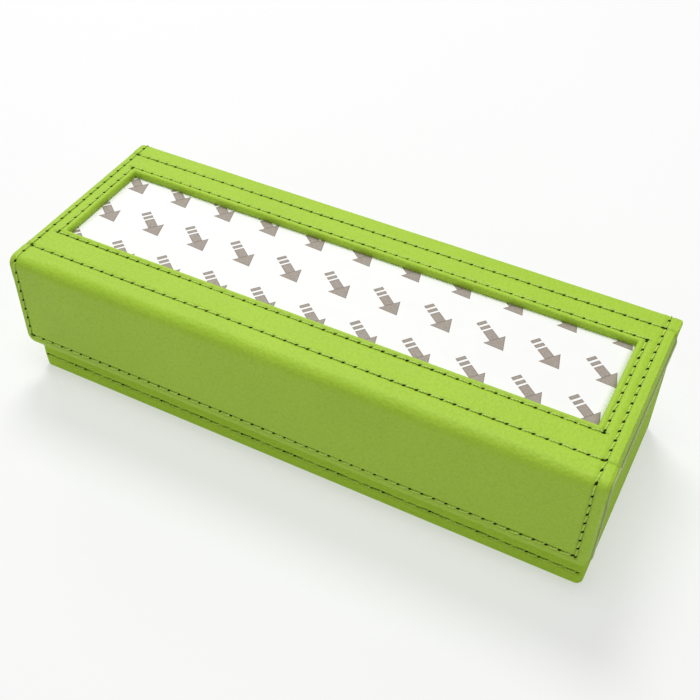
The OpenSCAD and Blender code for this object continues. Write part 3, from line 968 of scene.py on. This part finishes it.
def suede():
    sh = Shader("lining_suede", Roughness=0.95, Specular_IOR_Level=0.15, Sheen_Weight=0.35,
                Sheen_Roughness=0.5)
    nap = sh.noise(2400.0, 3.0, 0.6)
    brushed = sh.noise(45.0, 3.0, 0.6)
    tone = sh.mix(sh.remap(brushed, 0.35, 0.65, 0, 1), (0.40, 0.47, 0.20, 1),
                  (0.50, 0.57, 0.28, 1))
    sh.set("Base Color", sh.mix(sh.remap(nap, 0.3, 0.7, 0.0, 0.3), tone,
                                (0.30, 0.36, 0.14, 1)))
    sh.set("Normal", sh.bump(nap, 0.00012, 0.6, sh.bump(brushed, 0.0003, 0.3)))
    return sh.material


def board():
    sh = Shader("grey_board", Roughness=0.85, Specular_IOR_Level=0.25)
    fibre = sh.noise(900.0, 4.0, 0.65)
    fleck = sh.cells(500.0)
    tone = sh.mix(sh.remap(fibre, 0.3, 0.7, 0, 1), (0.22, 0.205, 0.18, 1),
                  (0.33, 0.31, 0.28, 1))
    sh.set("Base Color", sh.mix(sh.remap(fleck, 0.0, 0.2, 0.5, 0.0), tone,
                                (0.45, 0.42, 0.36, 1)))
    sh.set("Normal", sh.bump(fibre, 0.0001, 0.5))
    return sh.material


def base_cloth():
    """Black plain weave from two crossed waves."""
    sh = Shader("base_cloth", Roughness=0.9, Specular_IOR_Level=0.2)
    threads_per_metre = 1400.0
    split = sh.node("ShaderNodeSeparateXYZ", {"Vector": sh.coords}).outputs
    over = sh.math("SINE", sh.math("MULTIPLY", split["X"], threads_per_metre * math.pi))
    under = sh.math("SINE", sh.math("MULTIPLY", split["Y"], threads_per_metre * math.pi))
    cross = sh.math("MULTIPLY", over, under)
    fray = sh.noise(1500.0, 2.0)
    height = sh.math("ADD", cross, fray)
    sh.set("Base Color", sh.mix(sh.remap(height, -0.5, 1.5, 0, 1), (0.006, 0.006, 0.006, 1),
                                (0.04, 0.04, 0.038, 1)))
    sh.set("Normal", sh.bump(height, 0.0002, 0.6))
    return sh.material


def steel():
    sh = Shader("nickel_steel", Metallic=1.0)
    lines = sh.node("ShaderNodeMapping", {"Vector": sh.coords, "Scale": (1.0, 1.0, 14.0)})
    brushed = sh.noise(700.0, 3.0, 0.6, lines.outputs["Vector"])
    sh.set("Base Color", sh.mix(brushed, (0.50, 0.50, 0.52, 1), (0.70, 0.70, 0.72, 1)))
    sh.set("Roughness", sh.remap(brushed, 0.2, 0.8, 0.22, 0.42))
    sh.set("Normal", sh.bump(brushed, 0.00003, 0.3))
    return sh.material


def film():
    sh = Shader("adhesive_film", Specular_IOR_Level=0.5)
    cloud = sh.noise(180.0, 3.0)
    sh.set("Base Color", sh.mix(cloud, (0.70, 0.70, 0.62, 1), (0.82, 0.82, 0.76, 1)))
    sh.set("Roughness", sh.remap(cloud, 0.3, 0.7, 0.25, 0.45))
    sh.set("Normal", sh.bump(cloud, 0.0001, 0.2))
    return sh.material


# Printed repeat on the release liner
PRINT_PITCH = 18.0
PRINT_TILT = 1.6
PRINT_START = (-2.0, 2.8)
ARROW_TURN = -41.0


def liner_paper():
    """White release paper with a grey repeat of peel arrows."""
    sh = Shader("release_paper", Specular_IOR_Level=0.3)
    split = sh.node("ShaderNodeSeparateXYZ", {"Vector": sh.coords}).outputs
    pitch = PRINT_PITCH * MM

    def turned(a, b, degrees):
        c, s = math.cos(math.radians(degrees)), math.sin(math.radians(degrees))
        return (sh.math("MULTIPLY_ADD", a, c, sh.math("MULTIPLY", b, s)),
                sh.math("MULTIPLY_ADD", a, -s, sh.math("MULTIPLY", b, c)))

    def repeated(value):
        whole = sh.math("ROUND", sh.math("DIVIDE", value, pitch))
        return sh.math("SUBTRACT", value, sh.math("MULTIPLY", whole, pitch))

    x = sh.math("SUBTRACT", split["X"], PRINT_START[0] * MM)
    y = sh.math("SUBTRACT", split["Y"], PRINT_START[1] * MM)
    x, y = turned(x, y, PRINT_TILT)
    u, v = turned(repeated(x), repeated(y), ARROW_TURN)
    v = sh.math("ABSOLUTE", v)

    def bar(middle, half_u, half_v):
        across = sh.math("SUBTRACT", sh.math(
            "ABSOLUTE", sh.math("SUBTRACT", u, middle * MM)), half_u * MM)
        return sh.math("MAXIMUM", across, sh.math("SUBTRACT", v, half_v * MM))

    slope = math.atan2(4.0, 5.6)
    head = sh.math("MULTIPLY_ADD", u, math.sin(slope), sh.math(
        "MULTIPLY_ADD", v, math.cos(slope), -7.2 * MM * math.sin(slope)))
    head = sh.math("MAXIMUM", head, sh.math("SUBTRACT", 1.6 * MM, u))
    shape = sh.math("MINIMUM", head, bar(-0.6, 2.3, 1.7))
    shape = sh.math("MINIMUM", shape, bar(-4.3, 0.7, 1.7))
    shape = sh.math("MINIMUM", shape, bar(-6.5, 0.7, 1.7))
    ink = sh.remap(shape, -0.00006, 0.00006, 1.0, 0.0)
    outline = sh.remap(sh.math("ABSOLUTE", sh.math("ADD", shape, 0.00014)),
                       0.0001, 0.0002, 1.0, 0.0)
    speckle = sh.noise(2200.0, 2.0)
    grey = sh.mix(sh.remap(speckle, 0.35, 0.65, 0, 1), (0.32, 0.27, 0.23, 1),
                  (0.42, 0.37, 0.32, 1))
    grey = sh.mix(sh.math("MULTIPLY", outline, 0.6), grey, (0.20, 0.165, 0.135, 1))
    paper = sh.mix(sh.noise(120.0, 3.0), (0.92, 0.92, 0.91, 1), (0.96, 0.96, 0.95, 1))
    sh.set("Base Color", sh.mix(ink, paper, grey))
    sh.set("Roughness", sh.remap(sh.noise(300.0), 0.3, 0.7, 0.52, 0.62))
    sh.set("Normal", sh.bump(sh.noise(90.0, 2.0), 0.0003, 0.15))
    return sh.material


def make_liner(material):
    """The release liner: a thin sheet that lies a little unevenly in the window."""
    build = Builder()
    x = spaced(liner_low[0], liner_high[0], 2.0)
    y = spaced(liner_low[1], liner_high[1], 2.0)
    gx, gy = np.meshgrid(x, y, indexing="ij")
    wave = 0.04 * np.sin(gx / 14 + gy / 9) + 0.032 * np.sin(gx / 5.5 - gy / 7)
    z = liner_high[2] + wave
    top = np.stack([gx, gy, z], -1).reshape(-1, 3)
    faces = grid_faces(build.add(top), np.ones((len(x) - 1, len(y) - 1), bool))
    build.faces.append(faces)

    def down(used):
        yield top[used] - (0, 0, liner_high[2] - liner_low[2])

    add_skirt(build, border_edges(faces), down)
    return build.piece("liner_sheet", material)


# ------------------------ the pieces
def blended(piece, start, end, bodies):
    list(bodies)
    [v * MM for v in start]
    [v * MM for v in end]
    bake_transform(piece)


def diagonal(centre, reach, direction):
    """Two points through a bend's middle, where the fabric starts and stops bending."""
    step = np.array([0, *direction], float) * reach / math.sqrt(2)
    middle = np.array([0, *centre])
    return middle - step, middle + step


front_zone = diagonal(front_centre, 3.6, (-1, -1))
rear_zone = diagonal(rear_centre, 1.6, (-1, 1))

green = leather("leather_green", 0.22, 0.0)
tray_green = leather("leather_green_tray", 0.07, 0.25)
thread_green = thread()
hole_shade = hole()
lining = suede()

front_wrap = leather_sheet("wrap_leather_front", rows_between(0, S_SEAM), False, True, green)
blended(front_wrap, *front_zone, ("lid", "flap"))
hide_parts("lid_cover", "flap_cover")
rear_wrap = leather_sheet("wrap_leather_rear", rows_between(S_SEAM, S_END), True, False, green)
blended(rear_wrap, *rear_zone, ("tray", "lid"))
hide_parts("rear_panel_cover")

front_lining = lining_sheet("lid_and_flap_lining", LINING_INSET, S_SEAM, False, True, lining)
blended(front_lining, *front_zone, ("lid", "flap"))
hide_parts("lid_lining", "flap_lining")
rear_lining = lining_sheet("rear_fold_lining", S_SEAM, S_REAR - 0.6, True, False, lining)
blended(rear_lining, *rear_zone, ("tray", "lid"))

tray_leather = make_tray_cover(tray_green)
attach(tray_leather, "tray")
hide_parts("tray_cover")

for side, low, high in ((1, left_bay_low, left_bay_high), (-1, right_bay_low, right_bay_high)):
    label = "left" if side > 0 else "right"
    bay = make_bay(label + "_bay_suede", low, high, side, lining)
    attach(bay, "tray")
    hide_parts(label + "_bay_lining")

divider = make_divider(lining)
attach(divider, "tray")
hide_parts("divider_cover")

liner = make_liner(liner_paper())
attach(liner, "lid")
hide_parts("release_liner")


def stitched(name, rows, seed, replaced, body=None, zone=None, bodies=None, place=on_wrap,
             limits=(-math.inf, math.inf)):
    """Thread and needle holes for some rows, on one body or across a fold."""
    made = [thread_piece(name + "_thread", rows, place, thread_green, seed, limits),
            hole_piece(name + "_holes", rows, place, hole_shade, limits)]
    for piece in made:
        if body:
            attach(piece, body)
        else:
            blended(piece, *zone, bodies)
    if replaced:
        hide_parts(*replaced)


stitched("front_side", side_rows, 1, ["lid_side_stitching"], zone=front_zone,
         bodies=("lid", "flap"), limits=(0, S_SEAM))
stitched("rear_side", side_rows, 2, ["rear_panel_stitching"], zone=rear_zone,
         bodies=("tray", "lid"), limits=(S_SEAM, S_END))
stitched("flap_edge", [flap_row], 3, ["flap_stitching"], body="flap")
stitched("front_fold", [front_fold_row], 4, ["front_fold_stitching"], body="lid")
stitched("rear_fold", [rear_fold_row], 5, ["rear_fold_stitching"], body="lid")
stitched("window", window_rows, 6, ["window_stitching"], body="lid")
stitched("rear_panel", [panel_row], 7, [], body="tray")
stitched("tray_front", [tray_row], 8, ["tray_front_stitching"], body="tray",
         place=on_tray_front)

# CAD nodes that are shown as they are
cad_looks = {
    board(): ["floor_board", "front_board", "back_board", "left_end_board",
              "right_end_board", "divider_board", "lid_board", "window_backing_board",
              "flap_board"],
    steel(): ["keeper_plates", "flap_magnets"],
    film(): ["adhesive_sheet"],
    base_cloth(): ["bottom_sheet"],
}
for look, names in cad_looks.items():
    for name in names:
        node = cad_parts[name]
        if not node.material_slots:
            node.data.materials.append(look)
        for material_slot in node.material_slots:
            material_slot.material = look

# ------------------------ camera, light and floor
CAMERA_AT = Vector((122.0, -237.2, 282.4)) * MM
CAMERA_AIM = Vector((4.65, -0.05, 26.0)) * MM
CAMERA_ROLL = 1.37
CAMERA_LENS = 55.7

camera_data = bpy.data.cameras.new("camera")
camera_data.lens = CAMERA_LENS
camera_data.sensor_width = 36.0
camera_data.clip_start, camera_data.clip_end = 0.01, 20.0
camera = bpy.data.objects.new("camera", camera_data)
look_at = (CAMERA_AIM - CAMERA_AT).to_track_quat("-Z", "Y").to_matrix().to_4x4()
camera.matrix_world = (Matrix.Translation(CAMERA_AT) @ look_at
                       @ Matrix.Rotation(math.radians(CAMERA_ROLL), 4, "Z"))
bpy.context.scene.collection.objects.link(camera)
bpy.context.scene.camera = camera


def area_light(name, place, aim, size, power, colour=(1, 1, 1)):
    data = bpy.data.lights.new(name, "AREA")
    data.shape, data.size, data.energy, data.color = "DISK", size, power, colour
    light = bpy.data.objects.new(name, data)
    light.location = place
    light.rotation_euler = (Vector(aim) - Vector(place)).to_track_quat("-Z", "Y").to_euler()
    bpy.context.scene.collection.objects.link(light)


area_light("key", (-0.34, 0.55, 1.20), (0.0, 0, 0.03), 0.5, 8.6)
area_light("top", (0.08, -0.16, 1.30), (0.02, 0, 0.03), 0.6, 5.6)
area_light("left_glow", (-1.10, 0.95, 0.75), (-0.08, 0, 0.05), 0.5, 2.5)

world = bpy.data.worlds.new("studio")
world.use_nodes = True
world.node_tree.nodes["Background"].inputs["Color"].default_value = (1.0, 1.0, 1.0, 1)
world.node_tree.nodes["Background"].inputs["Strength"].default_value = 0.25
bpy.context.scene.world = world
bpy.context.scene.view_settings.view_transform = "Standard"

floor_sh = Shader("studio_floor", Roughness=0.9, Specular_IOR_Level=0.1,
                  Emission_Color=(1, 1, 1, 1), Emission_Strength=0.50)
floor_tone = floor_sh.mix(floor_sh.noise(3.0), (0.44, 0.44, 0.44, 1), (0.47, 0.47, 0.47, 1))
floor_sh.set("Base Color", floor_tone)
FLOOR_HALF = 6000.0
floor_points = [(-FLOOR_HALF, -FLOOR_HALF, 0), (FLOOR_HALF, -FLOOR_HALF, 0),
                (FLOOR_HALF, FLOOR_HALF, 0), (-FLOOR_HALF, FLOOR_HALF, 0)]
floor = make_piece("floor", floor_points, [(0, 1, 2, 3)], floor_sh.material)
